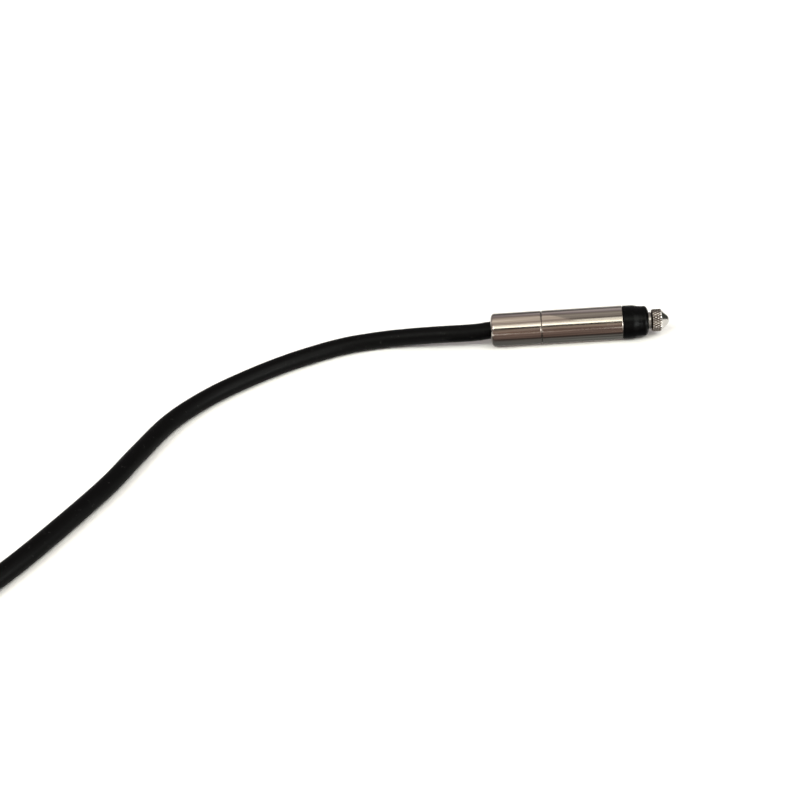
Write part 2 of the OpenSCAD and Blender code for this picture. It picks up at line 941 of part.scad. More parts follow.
module plug_shield() {
    key_out_w = key_w + 2 * shell_wall;
    color("silver")
    at_plug(grip_front_s - shell_hold)
    difference() {
        union() {
            ring(shell_hold + shell_wall, shell_r - shell_step, shell_in_r - shell_step);
            translate([0, 0, shell_hold])
                ring(shell_wall, shell_r, shell_in_r - shell_step);
            translate([0, 0, shell_hold])
                ring(shell_len, shell_r, shell_in_r);
            intersection() {
                translate([0, 0, shell_hold])
                    cylinder(h = shell_len, r = shell_r);
                translate([-key_out_w / 2, -shell_r, shell_hold])
                    cube([key_out_w, key_depth + shell_wall, shell_len]);
            }
        }
        translate([-key_w / 2, -shell_r - over, shell_hold + shell_wall])
            cube([key_w, key_depth + over, shell_len + over]);
    }
}

// Places what follows at each pin of the plug, on the half away from the key
module at_plug_pins() {
    for (k = [0:pin_count - 1])
        rotate([0, 0, 180 * k / (pin_count - 1)])
            translate([pin_circle_d / 2, 0, 0])
                children();
}

module plug_insert() {
    relief_w = key_w + 2 * shell_wall + 2 * insert_gap;
    color([0.2, 0.2, 0.2])
    at_plug(shell_front_s - insert_depth - insert_t)
    difference() {
        cylinder(h = insert_t, r = shell_in_r - insert_gap);
        at_plug_pins()
            bore(-over, insert_t + over, contact_pin_d / 2 + fit);
        translate([-relief_w / 2, -shell_r, -over])
            cube([relief_w, key_depth + shell_wall + insert_gap, insert_t + 2 * over]);
    }
}

module plug_pins() {
    pin_len = insert_depth + insert_t + contact_pin_back - contact_pin_inset;
    straight = pin_len - contact_pin_point;
    color("gold")
    at_plug(shell_front_s - insert_depth - insert_t - contact_pin_back)
    at_plug_pins()
        union() {
            cylinder(h = straight, r = contact_pin_d / 2);
            translate([0, 0, straight])
                cylinder(
                    h = contact_pin_point,
                    r1 = contact_pin_d / 2,
                    r2 = contact_pin_d / 2 - contact_pin_point
                );
        }
}

module plug_relief() {
    rear_r = 3.1;
    front_r = 4.1;
    slot_count = 5;
    slot_floor = 0.4;
    slot_w = 1.1;
    slot_pitch = 3.1;
    first_slot = 3;
    color([0.12, 0.12, 0.13])
    at_plug(0)
    difference() {
        union() {
            cylinder(h = relief_len - face_gap, r1 = rear_r, r2 = front_r);
            cylinder(h = relief_len + relief_hold - face_gap, r = cable_r + relief_core_wall);
        }
        bore(-over, relief_len + relief_hold + over, cable_r + fit);
        for (k = [0:slot_count - 1])
            for (side = [0, 180])
                rotate([0, 0, side + 90 * (k % 2)])
                    translate([cable_r + slot_floor, -front_r, first_slot + k * slot_pitch])
                        cube([front_r, 2 * front_r, slot_w]);
    }
}

rear_sleeve();
front_tube();
nose_bush();
boot();
stop_bush();
spring_seat();
return_spring();
shield_tube();
coil_former();
winding_front();
winding_rear();
terminal_disc();
solder_pins();
lead_wires();
body_seal();
cable_seal();
cable_ferrule();
plunger();
anti_rotation_pin();
core_rod();
ferrite_core();
contact_tip();
contact_ball();
ball_cage();
guide_balls();
cable_run();
cable_coil();
cable_ties();
cable_lead();
plug_body();
plug_shield();
plug_insert();
plug_pins();
plug_relief();
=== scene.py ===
# Looks of the contact displacement sensor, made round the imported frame. Everything is in metres.
import math
import bpy
from mathutils import Matrix, Vector


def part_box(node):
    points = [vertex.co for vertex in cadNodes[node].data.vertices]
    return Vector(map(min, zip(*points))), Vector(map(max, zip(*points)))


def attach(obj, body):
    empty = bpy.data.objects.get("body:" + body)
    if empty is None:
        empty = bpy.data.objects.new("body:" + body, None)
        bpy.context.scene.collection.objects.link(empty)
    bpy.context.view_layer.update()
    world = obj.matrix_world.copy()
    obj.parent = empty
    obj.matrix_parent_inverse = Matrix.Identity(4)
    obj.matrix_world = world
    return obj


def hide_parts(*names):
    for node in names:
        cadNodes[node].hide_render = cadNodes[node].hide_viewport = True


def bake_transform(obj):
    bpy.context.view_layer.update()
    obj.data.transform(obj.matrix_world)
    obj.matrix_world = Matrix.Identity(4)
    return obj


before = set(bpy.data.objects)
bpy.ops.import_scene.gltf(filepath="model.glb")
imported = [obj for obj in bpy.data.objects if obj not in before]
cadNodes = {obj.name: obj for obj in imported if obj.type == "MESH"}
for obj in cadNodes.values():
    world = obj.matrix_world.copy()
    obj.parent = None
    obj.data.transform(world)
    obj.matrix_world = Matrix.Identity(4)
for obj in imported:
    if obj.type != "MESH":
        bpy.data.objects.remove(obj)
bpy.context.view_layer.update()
scene = bpy.context.scene
mm = 0.001
print("frame loaded,", len(cadNodes), "nodes")

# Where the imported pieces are
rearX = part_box("rear_sleeve")[0].x
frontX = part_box("front_tube")[1].x
springLow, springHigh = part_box("return_spring")
axisZ = 0.004      # the barrel's radius, as it lies on the floor


def smooth(t):
    t = max(0.0, min(1.0, t))
    return t * t * (3 - 2 * t)


def mix(a, b, t):
    return a + (b - a) * t


def addObject(name, data):
    piece = bpy.data.objects.new(name, data)
    scene.collection.objects.link(piece)
    return piece


# Camera, as the photograph was taken
cameraView = {
    "place": (-0.00729, -0.206107, 0.131536),
    "lens": 45,
    "sensor": 36,
    "down": 35.0,       # degrees below the horizon
    "turn": -10.551,    # degrees to the left
    "roll": -9.029,
    "nearest": 0.005,
    "farthest": 20,
}


def makeCamera(settings):
    down, turn, roll = (math.radians(settings[k]) for k in ("down", "turn", "roll"))
    level = math.cos(down)
    ahead = Vector((math.sin(turn) * level, math.cos(turn) * level, -math.sin(down)))
    right = Vector((math.cos(turn), -math.sin(turn), 0))
    up = right.cross(ahead)
    side = right * math.cos(roll) + up * math.sin(roll)
    top = up * math.cos(roll) - right * math.sin(roll)
    data = bpy.data.cameras.new("photoCamera")
    data.lens = settings["lens"]
    data.sensor_width = settings["sensor"]
    data.clip_start = settings["nearest"]
    data.clip_end = settings["farthest"]
    camera = addObject("photoCamera", data)
    turned = Matrix((side, top, -ahead)).transposed().to_4x4()
    camera.matrix_world = Matrix.Translation(settings["place"]) @ turned
    scene.camera = camera


makeCamera(cameraView)
print("camera set")

# Cable: out of the sleeve, down to the floor, away to the left and into its coil
cable = {
    "diameter": 0.0042,
    "length": 2.0,
    "inside": 0.00584,          # how far it reaches into the sleeve
    "coilCentre": (-0.1419, -0.0879),
    "outerRadius": 0.035025,
    "layerPitch": 0.00425,      # between turns beside each other
    "lowLayer": 0.0029,         # heights of the two layers' middles
    "topLayer": 0.0071,
    "columns": 6,
    "firstRise": 6,             # the first turn comes up to its height in a sixth of a turn
    "stepShare": 0.5,           # share of a turn in which it moves over to the next column
    "startAngle": -30.5,
    "endTurns": 11.415,
    "pointsPerTurn": 16,
    "plugHeight": 0.00775,
    "leadRun": 0.030,
    "leadSteps": 5,
    "leadInPlug": 0.029,
    "between": 5,               # steps from one point of the route to the next
    "sides": 24,
}

# Along and across from the rear end, and the share of the drop to the floor still to go
cableRoute = [
    (-0.003, -0.0002, 0.9), (-0.006, -0.0002, 0.85), (-0.011, 0.0001, 0.77),
    (-0.016, 0.0007, 0.56), (-0.021, 0.0013, 0.31), (-0.026, 0.0015, 0.12),
    (-0.031, 0.0011, 0), (-0.036, 0, 0),
    (-0.042, -0.0023, 0), (-0.050, -0.0064, 0), (-0.0585, -0.0122, 0), (-0.0667, -0.0194, 0),
    (-0.0734, -0.0284, 0), (-0.0776, -0.0396, 0), (-0.081, -0.050, 0), (-0.086, -0.061, 0),
    (-0.0915, -0.0718, 0), (-0.097, -0.081, 0), (-0.102, -0.0895, 0), (-0.107, -0.098, 0),
    (-0.1116, -0.1058, 0),
]


def coilPoint(turns):
    # Radius and height of the wound cable after so many turns, laid in two layers
    columns = cable["columns"]
    low, top, share = cable["lowLayer"], cable["topLayer"], cable["stepShare"]
    whole = math.floor(turns)
    part = turns - whole
    over = smooth((part - 1 + share) / share)
    if turns < columns - 1:
        shifted = whole + over
        height = mix(cable["diameter"] / 2, low, smooth(turns * cable["firstRise"]))
    elif turns < columns:
        # Rolls over the turn beside it
        shifted = columns - 1
        height = low + (top - low) * math.sqrt(1 - (1 - over) ** 2)
    else:
        shifted = columns - 1 - min(columns - 1, whole - columns + smooth(part / share))
        height = top
    radius = cable["outerRadius"] - shifted * cable["layerPitch"]
    angle = math.radians(cable["startAngle"] - 360 * turns)
    return Vector((
        rearX + cable["coilCentre"][0] + radius * math.cos(angle),
        cable["coilCentre"][1] + radius * math.sin(angle),
        height,
    ))


def cablePoints():
    floorZ = cable["diameter"] / 2
    points = [Vector((rearX + cable["inside"], 0, axisZ)), Vector((rearX, 0, axisZ))]
    for back, left, share in cableRoute:
        points.append(Vector((rearX + back, left, floorZ + share * (axisZ - floorZ))))
    steps = round(cable["endTurns"] * cable["pointsPerTurn"])
    for i in range(1, steps + 1):
        points.append(coilPoint(cable["endTurns"] * i / steps))
    leave = points[-1]
    for i in range(1, cable["leadSteps"] + 1):
        t = i / cable["leadSteps"]
        height = mix(leave.z, cable["plugHeight"], smooth(t))
        points.append(Vector((leave.x, leave.y + cable["leadRun"] * t, height)))
    points.append(points[-1] + Vector((0, cable["leadInPlug"], 0)))
    return points


def through(knots, between):
    # A smooth line through all the knots, with so many steps from one to the next
    line = []
    last = len(knots) - 1
    for i in range(last):
        before, here = knots[max(i - 1, 0)], knots[i]
        on, after = knots[i + 1], knots[min(i + 2, last)]
        for k in range(between):
            t = k / between
            line.append(0.5 * (
                2 * here + (on - before) * t
                + (2 * before - 5 * here + 4 * on - after) * t ** 2
                + (3 * here - before - 3 * on + after) * t ** 3
            ))
    line.append(knots[last])
    return line


def roundBar(name, line, radius, sides):
    # A round section carried along the line without twist
    points, faces = [], []
    count = len(line)
    out = Vector((0, 0, 1))
    for i, centre in enumerate(line):
        way = (line[min(i + 1, count - 1)] - line[max(i - 1, 0)]).normalized()
        out = (out - way * out.dot(way)).normalized()
        across = way.cross(out)
        for k in range(sides):
            angle = 2 * math.pi * k / sides
            points.append(centre + radius * (math.cos(angle) * out + math.sin(angle) * across))
    for i in range(count - 1):
        for k in range(sides):
            n = (k + 1) % sides
            faces.append((i * sides + k, i * sides + n, (i + 1) * sides + n, (i + 1) * sides + k))
    faces.append(tuple(range(sides - 1, -1, -1)))
    faces.append(tuple((count - 1) * sides + k for k in range(sides)))
    mesh = bpy.data.meshes.new(name)
    mesh.from_pydata(points, [], faces)
    mesh.shade_smooth()
    mesh.set_sharp_from_angle(angle=math.radians(50))
    mesh.update()
    return addObject(name, mesh)


def makeCable():
    line = through(cablePoints(), cable["between"])
    piece = roundBar("cable", line, cable["diameter"] / 2, cable["sides"])
    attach(piece, "housing")
    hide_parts("cable_run", "cable_coil", "cable_lead")
    return piece


cablePiece = makeCable()
print("cable laid")


# Floor, sky and lamps. Angles rise from the horizon in front, over the top, to the one behind.
studio = {
    "floorHalf": 6.0,
    "floorTone": (0.955, 0.952, 0.948),
    "floorRoughness": 0.9,
    "horizonTone": (0.86, 0.855, 0.85),
    "horizonTop": (0.10, 0.24),     # heights between which the horizon's tone gives way
    "lampDistance": 3.0,
    "lampWatts": 4,                 # for each square metre of a lamp and each unit of its light
    "warm": (0.97, 1.0, 0.88),
    "neutral": (1.0, 0.99, 0.97),
}

# Bands of the sky: angles from and to, and the tone
skyBands = [
    (0, 13, (0.30, 0.22, 0.19)), (19, 28, (0.52, 0.42, 0.35)), (32, 41, (0.05, 0.045, 0.04)),
    (43, 62, (0.42, 0.40, 0.37)), (84, 118, (0.56, 0.52, 0.47)), (120, 150, (0.66, 0.61, 0.63)),
    (154, 172, (0.22, 0.22, 0.21)),
]


def makeFloor():
    half = studio["floorHalf"]
    mesh = bpy.data.meshes.new("floor")
    corners = [(-half, -half, 0), (half, -half, 0), (half, half, 0), (-half, half, 0)]
    mesh.from_pydata(corners, [], [(0, 1, 2, 3)])
    floor = addObject("floor", mesh)
    material = bpy.data.materials.new("paleFloor")
    material.use_nodes = True
    shader = material.node_tree.nodes["Principled BSDF"]
    shader.inputs["Base Color"].default_value = (*studio["floorTone"], 1)
    shader.inputs["Roughness"].default_value = studio["floorRoughness"]
    shader.inputs["Specular IOR Level"].default_value = 0
    mesh.materials.append(material)


def makeSky():
    world = bpy.data.worlds.new("studioSky")
    world.use_nodes = True
    scene.world = world
    nodes, links = world.node_tree.nodes, world.node_tree.links
    where = nodes.new("ShaderNodeTexCoord")
    split = nodes.new("ShaderNodeSeparateXYZ")
    front = nodes.new("ShaderNodeMath")
    front.operation = "MULTIPLY"
    front.inputs[1].default_value = -1
    rise = nodes.new("ShaderNodeMath")
    rise.operation = "ARCTAN2"
    share = nodes.new("ShaderNodeMath")
    share.operation = "DIVIDE"
    share.inputs[1].default_value = math.pi
    ramp = nodes.new("ShaderNodeValToRGB")
    above = nodes.new("ShaderNodeMapRange")
    above.interpolation_type = "SMOOTHSTEP"
    above.inputs["From Min"].default_value = studio["horizonTop"][0]
    above.inputs["From Max"].default_value = studio["horizonTop"][1]
    blend = nodes.new("ShaderNodeMix")
    blend.data_type = "RGBA"
    blend.inputs["A"].default_value = (*studio["horizonTone"], 1)
    links.new(where.outputs["Generated"], split.inputs[0])
    links.new(split.outputs["Y"], front.inputs[0])
    links.new(split.outputs["Z"], rise.inputs[0])
    links.new(front.outputs[0], rise.inputs[1])
    links.new(rise.outputs[0], share.inputs[0])
    links.new(share.outputs[0], ramp.inputs["Fac"])
    links.new(split.outputs["Z"], above.inputs["Value"])
    links.new(above.outputs["Result"], blend.inputs["Factor"])
    links.new(ramp.outputs["Color"], blend.inputs["B"])
    links.new(blend.outputs["Result"], nodes["Background"].inputs["Color"])
    stops = ramp.color_ramp.elements
    stops[0].color = (*skyBands[0][2], 1)
    stops[1].color = (*studio["horizonTone"], 1)
    for start, end, tone in skyBands:
        for angle in (start, end):
            if angle > 0:
                stops.new(angle / 180).color = (*tone, 1)


def aroundBarrel(angle, away, along):
    # A point at an angle round the barrel's axis
    turn = math.radians(angle)
    return Vector((along, -away * math.cos(turn), axisZ + away * math.sin(turn)))


def softbox(name, low, high, left, right, light, tone):
    # A lamp between two angles and two places along the barrel
    away = studio["lampDistance"]
    data = bpy.data.lights.new(name, "AREA")
    data.shape = "RECTANGLE"
    data.size = right - left
    data.size_y = 2 * away * math.tan(math.radians((high - low) / 2))
    data.energy = studio["lampWatts"] * data.size * data.size_y * light
    data.color = tone
    lamp = addObject(name, data)
    lamp.location = aroundBarrel((low + high) / 2, away, (left + right) / 2)
    towards = Vector((0, lamp.location.y, lamp.location.z - axisZ))
    lamp.rotation_mode = "QUATERNION"
    lamp.rotation_quaternion = towards.to_track_quat("Z", "Y")
    lamp.visible_camera = False


def card(name, corners, tone):
    # A glowing card, dark or bright, that lights nothing and only shows as a painted reflection
    mesh = bpy.data.meshes.new(name)
    mesh.from_pydata(corners, [], [(0, 1, 2, 3)])
    piece = addObject(name, mesh)
    material = bpy.data.materials.new(name)
    material.use_nodes = True
    shader = material.node_tree.nodes["Principled BSDF"]
    shader.inputs["Base Color"].default_value = (0, 0, 0, 1)
    shader.inputs["Specular IOR Level"].default_value = 0
    shader.inputs["Emission Color"].default_value = (*tone, 1)
    shader.inputs["Emission Strength"].default_value = 1
    mesh.materials.append(material)
    piece.visible_camera = False
    piece.visible_shadow = False
    piece.visible_diffuse = False


# Angles from and to, places along the barrel from and to, light and tone
lamps = {
    "keySoftbox": (42, 56, -3, 3, 3.3, studio["warm"]),
    "upperSoftbox": (56, 70, -3, 3, 1.1, studio["warm"]),
    "leftSoftbox": (35, 80, -3.2, -1.0, 2.6, studio["neutral"]),
    "rightSoftbox": (35, 80, 1.0, 3.2, 2.6, studio["neutral"]),
}
# Painted reflections on the barrel, boot and tip: tone, and corners as angle, distance and place
# along the barrel
barrelCards = {
    "sleeveCard": ((1.1, 1.0, 0.88),
                   [(57, 0.02, -0.04), (57, 0.02, -0.0004),
                    (117, 0.02, -0.009), (117, 0.02, -0.04)]),
    "frontCard": ((0.38, 0.27, 0.22),
                  [(0, 0.6, -0.7), (0, 0.6, 0.7), (12, 0.61, 0.7), (12, 0.61, -0.7)]),
    "patchCard": ((14, 14.4, 14),
                  [(0, 0.3, 0.12), (0, 0.3, 0.9), (18, 0.32, 0.9), (18, 0.32, 0.12)]),
    "noseCard": ((6, 6.1, 6),
                 [(14, 0.31, 0.22), (14, 0.31, 0.9), (38, 0.38, 0.9), (38, 0.38, 0.22)]),
}
# Upright dark card past the tip, a painted reflection in the tip
tipCardTone = (0.08, 0.085, 0.075)
tipCardSpan = {"x": 0.06, "left": -0.01, "right": 0.15, "low": 0.004, "high": 0.06}
# Cards on the floor in front of the barrel, painting a darker floor and shade into the barrel's
# reflection: near and far edge, and the tone
floorCards = {
    "floorCard1": (-0.0022, -0.0060, (0.24, 0.25, 0.24)),
    "floorCard2": (-0.0060, -0.0079, (0.10, 0.08, 0.07)),
    "floorCard3": (-0.0079, -0.030, (0.30, 0.22, 0.19)),
    "floorCard4": (-0.030, -0.6, (0.42, 0.32, 0.28)),
}
floorCardSpan = {"rear": -0.032, "front": 0.0172, "height": 0.0004}


def upright(x, left, right, low, high):
    return [(x, left, low), (x, right, low), (x, right, high), (x, left, high)]


def onFloor(near, far, rear, front, height):
    return [(rear, near, height), (front, near, height), (front, far, height), (rear, far, height)]


makeFloor()
makeSky()
for name, settings in lamps.items():
    softbox(name, *settings)
for name, (tone, corners) in barrelCards.items():
    card(name, [aroundBarrel(*corner) for corner in corners], tone)
card("tipCard", upright(**tipCardSpan), tipCardTone)
for name, (near, far, tone) in floorCards.items():
    card(name, onFloor(near, far, **floorCardSpan), tone)
print("stage lit")


# Shader node groups that several finishes share
def newGroup(name, inputs, outputs):
    group = bpy.data.node_groups.new(name, "ShaderNodeTree")
    for label, kind, value in inputs:
        socket = group.interface.new_socket(name=label, in_out="INPUT", socket_type=kind)
        if value is not None:
            socket.default_value = value
    for label, kind in outputs:
        group.interface.new_socket(name=label, in_out="OUTPUT", socket_type=kind)
    return group, group.nodes.new("NodeGroupInput"), group.nodes.new("NodeGroupOutput")


def makeToolLines():
    # Fine lines left by grinding or turning: noise drawn out along the tool's way
    group, given, made = newGroup(
        "toolLines",
        [("Vector", "NodeSocketVector", None), ("Lines", "NodeSocketVector", (60, 4000, 4000))],
        [("Height", "NodeSocketFloat")],
    )
    drawn = group.nodes.new("ShaderNodeVectorMath")
    drawn.operation = "MULTIPLY"
    noise = group.nodes.new("ShaderNodeTexNoise")
    noise.inputs["Scale"].default_value = 1
    noise.inputs["Detail"].default_value = 3
    noise.inputs["Roughness"].default_value = 0.6
    group.links.new(given.outputs["Vector"], drawn.inputs[0])
    group.links.new(given.outputs["Lines"], drawn.inputs[1])
    group.links.new(drawn.outputs[0], noise.inputs["Vector"])
    group.links.new(noise.outputs["Fac"], made.inputs["Height"])
    return group


def makeToneDrift():
    # Slow change between two tones
    group, given, made = newGroup(
        "toneDrift",
        [("Vector", "NodeSocketVector", None), ("Spread", "NodeSocketVector", (300, 300, 300)),
         ("Low", "NodeSocketColor", (0, 0, 0, 1)), ("High", "NodeSocketColor", (1, 1, 1, 1))],
        [("Color", "NodeSocketColor")],
    )
    drawn = group.nodes.new("ShaderNodeVectorMath")
    drawn.operation = "MULTIPLY"
    noise = group.nodes.new("ShaderNodeTexNoise")
    noise.inputs["Scale"].default_value = 1
    noise.inputs["Detail"].default_value = 4
    blend = group.nodes.new("ShaderNodeMix")
    blend.data_type = "RGBA"
    steep = group.nodes.new("ShaderNodeMapRange")
    steep.inputs["From Min"].default_value = 0.35
    steep.inputs["From Max"].default_value = 0.65
    group.links.new(given.outputs["Vector"], drawn.inputs[0])
    group.links.new(given.outputs["Spread"], drawn.inputs[1])
    group.links.new(drawn.outputs[0], noise.inputs["Vector"])
    group.links.new(noise.outputs["Fac"], steep.inputs["Value"])
    group.links.new(steep.outputs["Result"], blend.inputs["Factor"])
    group.links.new(given.outputs["Low"], blend.inputs["A"])
    group.links.new(given.outputs["High"], blend.inputs["B"])
    group.links.new(blend.outputs["Result"], made.inputs["Color"])
    return group


def makeHandling():
    # Patches that hands and wiping leave a little duller
    group, given, made = newGroup(
        "handling",
        [("Vector", "NodeSocketVector", None), ("Size", "NodeSocketFloat", 250.0),
         ("Bright", "NodeSocketFloat", 0.2), ("Dull", "NodeSocketFloat", 0.3)],
        [("Roughness", "NodeSocketFloat")],
    )
    noise = group.nodes.new("ShaderNodeTexNoise")
    noise.inputs["Detail"].default_value = 5
    noise.inputs["Roughness"].default_value = 0.65
    span = group.nodes.new("ShaderNodeMapRange")
    span.inputs["From Min"].default_value = 0.35
    span.inputs["From Max"].default_value = 0.7
    group.links.new(given.outputs["Vector"], noise.inputs["Vector"])
    group.links.new(given.outputs["Size"], noise.inputs["Scale"])
    group.links.new(noise.outputs["Fac"], span.inputs["Value"])
    group.links.new(given.outputs["Bright"], span.inputs["To Min"])
    group.links.new(given.outputs["Dull"], span.inputs["To Max"])
    group.links.new(span.outputs["Result"], made.inputs["Roughness"])
    return group


def makeMouldGrain():
    # Grain of a moulded or extruded skin
    group, given, made = newGroup(
        "mouldGrain",
        [("Vector", "NodeSocketVector", None), ("Size", "NodeSocketFloat", 4000.0)],
        [("Height", "NodeSocketFloat")],
    )
    coarse = group.nodes.new("ShaderNodeTexNoise")
    coarse.inputs["Detail"].default_value = 3
    cells = group.nodes.new("ShaderNodeTexVoronoi")
    both = group.nodes.new("ShaderNodeMath")
    both.operation = "MULTIPLY_ADD"
    both.inputs[1].default_value = 0.5
    group.links.new(given.outputs["Vector"], coarse.inputs["Vector"])
    group.links.new(given.outputs["Size"], coarse.inputs["Scale"])
    group.links.new(given.outputs["Vector"], cells.inputs["Vector"])
    group.links.new(given.outputs["Size"], cells.inputs["Scale"])
    group.links.new(cells.outputs["Distance"], both.inputs[0])
    group.links.new(coarse.outputs["Fac"], both.inputs[2])
    group.links.new(both.outputs[0], made.inputs["Height"])
    return group


def makeDust():
    # Specks of dust and lint on a dark skin
    group, given, made = newGroup(
        "dust",
        [("Vector", "NodeSocketVector", None), ("Size", "NodeSocketFloat", 1500.0),
         ("Skin", "NodeSocketColor", (0, 0, 0, 1)),
         ("Speck", "NodeSocketColor", (0.1, 0.1, 0.1, 1))],
        [("Color", "NodeSocketColor")],
    )
    noise = group.nodes.new("ShaderNodeTexNoise")
    noise.inputs["Detail"].default_value = 6
    noise.inputs["Roughness"].default_value = 0.7
    keep = group.nodes.new("ShaderNodeMapRange")
    keep.inputs["From Min"].default_value = 0.62
    keep.inputs["From Max"].default_value = 0.72
    blend = group.nodes.new("ShaderNodeMix")
    blend.data_type = "RGBA"
    group.links.new(given.outputs["Vector"], noise.inputs["Vector"])
    group.links.new(given.outputs["Size"], noise.inputs["Scale"])
    group.links.new(noise.outputs["Fac"], keep.inputs["Value"])
    group.links.new(keep.outputs["Result"], blend.inputs["Factor"])
    group.links.new(given.outputs["Skin"], blend.inputs["A"])
    group.links.new(given.outputs["Speck"], blend.inputs["B"])
    group.links.new(blend.outputs["Result"], made.inputs["Color"])
    return group


def makeRecess():
    # Open is 0 at the bottom of the knurl's grooves and 1 beside the knurl, where Inside is 0
    group, given, made = newGroup(
        "recess",
        [("Vector", "NodeSocketVector", None), ("Rear", "NodeSocketFloat", 0.0),
         ("Front", "NodeSocketFloat", 0.0), ("Low", "NodeSocketFloat", 0.0),
         ("High", "NodeSocketFloat", 1.0), ("Axis", "NodeSocketVector", (0, 0, 0))],
        [("Open", "NodeSocketFloat"), ("Inside", "NodeSocketFloat")],
    )
    nodes, links = group.nodes, group.links
    fromAxis = nodes.new("ShaderNodeVectorMath")
    fromAxis.operation = "SUBTRACT"
    flat = nodes.new("ShaderNodeVectorMath")
    flat.operation = "MULTIPLY"
    flat.inputs[1].default_value = (0, 1, 1)
    radius = nodes.new("ShaderNodeVectorMath")
    radius.operation = "LENGTH"
    height = nodes.new("ShaderNodeMapRange")
    split = nodes.new("ShaderNodeSeparateXYZ")
    after = nodes.new("ShaderNodeMath")
    after.operation = "GREATER_THAN"
    before = nodes.new("ShaderNodeMath")
    before.operation = "LESS_THAN"
    within = nodes.new("ShaderNodeMath")
    within.operation = "MULTIPLY"
    choose = nodes.new("ShaderNodeMix")
    choose.inputs["A"].default_value = 1
    links.new(given.outputs["Vector"], fromAxis.inputs[0])
    links.new(given.outputs["Axis"], fromAxis.inputs[1])
    links.new(fromAxis.outputs[0], flat.inputs[0])
    links.new(flat.outputs[0], radius.inputs[0])
    links.new(radius.outputs["Value"], height.inputs["Value"])
    links.new(given.outputs["Low"], height.inputs["From Min"])
    links.new(given.outputs["High"], height.inputs["From Max"])
    links.new(given.outputs["Vector"], split.inputs[0])
    links.new(split.outputs["X"], after.inputs[0])
    links.new(given.outputs["Rear"], after.inputs[1])
    links.new(split.outputs["X"], before.inputs[0])
    links.new(given.outputs["Front"], before.inputs[1])
    links.new(after.outputs[0], within.inputs[0])
    links.new(before.outputs[0], within.inputs[1])
    links.new(within.outputs[0], choose.inputs["Factor"])
    links.new(height.outputs["Result"], choose.inputs["B"])
    links.new(choose.outputs["Result"], made.inputs["Open"])
    links.new(within.outputs[0], made.inputs["Inside"])
    return group


toolLines = makeToolLines()
toneDrift = makeToneDrift()
handling = makeHandling()
mouldGrain = makeMouldGrain()
dust = makeDust()
recess = makeRecess()


def place(nodes, group, **values):
    # Puts a group into a material with that material's own values
    node = nodes.new("ShaderNodeGroup")
    node.node_tree = group
    for label, value in values.items():
        node.inputs[label].default_value = value
    return node


def startMaterial(name):
    material = bpy.data.materials.new(name)
    material.use_nodes = True
    nodes, links = material.node_tree.nodes, material.node_tree.links
    return material, nodes, links, nodes["Principled BSDF"], nodes.new("ShaderNodeTexCoord")


def addBump(nodes, links, shader, height, depth):
    bump = nodes.new("ShaderNodeBump")
    bump.inputs["Strength"].default_value = 1
    bump.inputs["Distance"].default_value = depth
    links.new(height, bump.inputs["Height"])
    links.new(bump.outputs["Normal"], shader.inputs["Normal"])


def metalFinish(name, look):
    material, nodes, links, shader, place3d = startMaterial(name)
    where = place3d.outputs["Object"]
    shader.inputs["Metallic"].default_value = 1
    tone = place(nodes, toneDrift, Spread=look["spread"],
                 Low=(*look["low"], 1), High=(*look["high"], 1))
    dull = place(nodes, handling, Size=look["patches"], Bright=look["bright"], Dull=look["dull"])
    lines = place(nodes, toolLines, Lines=look["lines"])
    for node in (tone, dull, lines):
        links.new(where, node.inputs["Vector"])
    links.new(tone.outputs["Color"], shader.inputs["Base Color"])
    links.new(dull.outputs["Roughness"], shader.inputs["Roughness"])
    addBump(nodes, links, shader, lines.outputs["Height"], look["depth"])
    return material


def softFinish(name, look):
    material, nodes, links, shader, place3d = startMaterial(name)
    where = place3d.outputs["Object"]
    shader.inputs["Specular IOR Level"].default_value = look["gloss"]
    tone = place(nodes, dust, Size=look["specks"],
                 Skin=(*look["skin"], 1), Speck=(*look["speck"], 1))
    dull = place(nodes, handling, Size=look["patches"], Bright=look["bright"], Dull=look["dull"])
    grain = place(nodes, mouldGrain, Size=look["grain"])
    for node in (tone, dull, grain):
        links.new(where, node.inputs["Vector"])
    links.new(tone.outputs["Color"], shader.inputs["Base Color"])
    links.new(dull.outputs["Roughness"], shader.inputs["Roughness"])
    addBump(nodes, links, shader, grain.outputs["Height"], look["depth"])
    return material


def metal(low, high, lines, depth, bright, dull, spread=(250, 250, 250), patches=250.0):
    # Two tones, the tool lines' scale and depth, and the roughness where clean and where handled
    return {"low": low, "high": high, "lines": lines, "depth": depth, "bright": bright,
            "dull": dull, "spread": spread, "patches": patches}


def skin(tone, speck, grain, depth, bright, dull, gloss, specks=1500.0, patches=200.0):
    # Tone, tone of the specks, the grain's scale and depth, and the roughness as above
    return {"skin": tone, "speck": speck, "grain": grain, "depth": depth, "bright": bright,
            "dull": dull, "gloss": gloss, "specks": specks, "patches": patches}


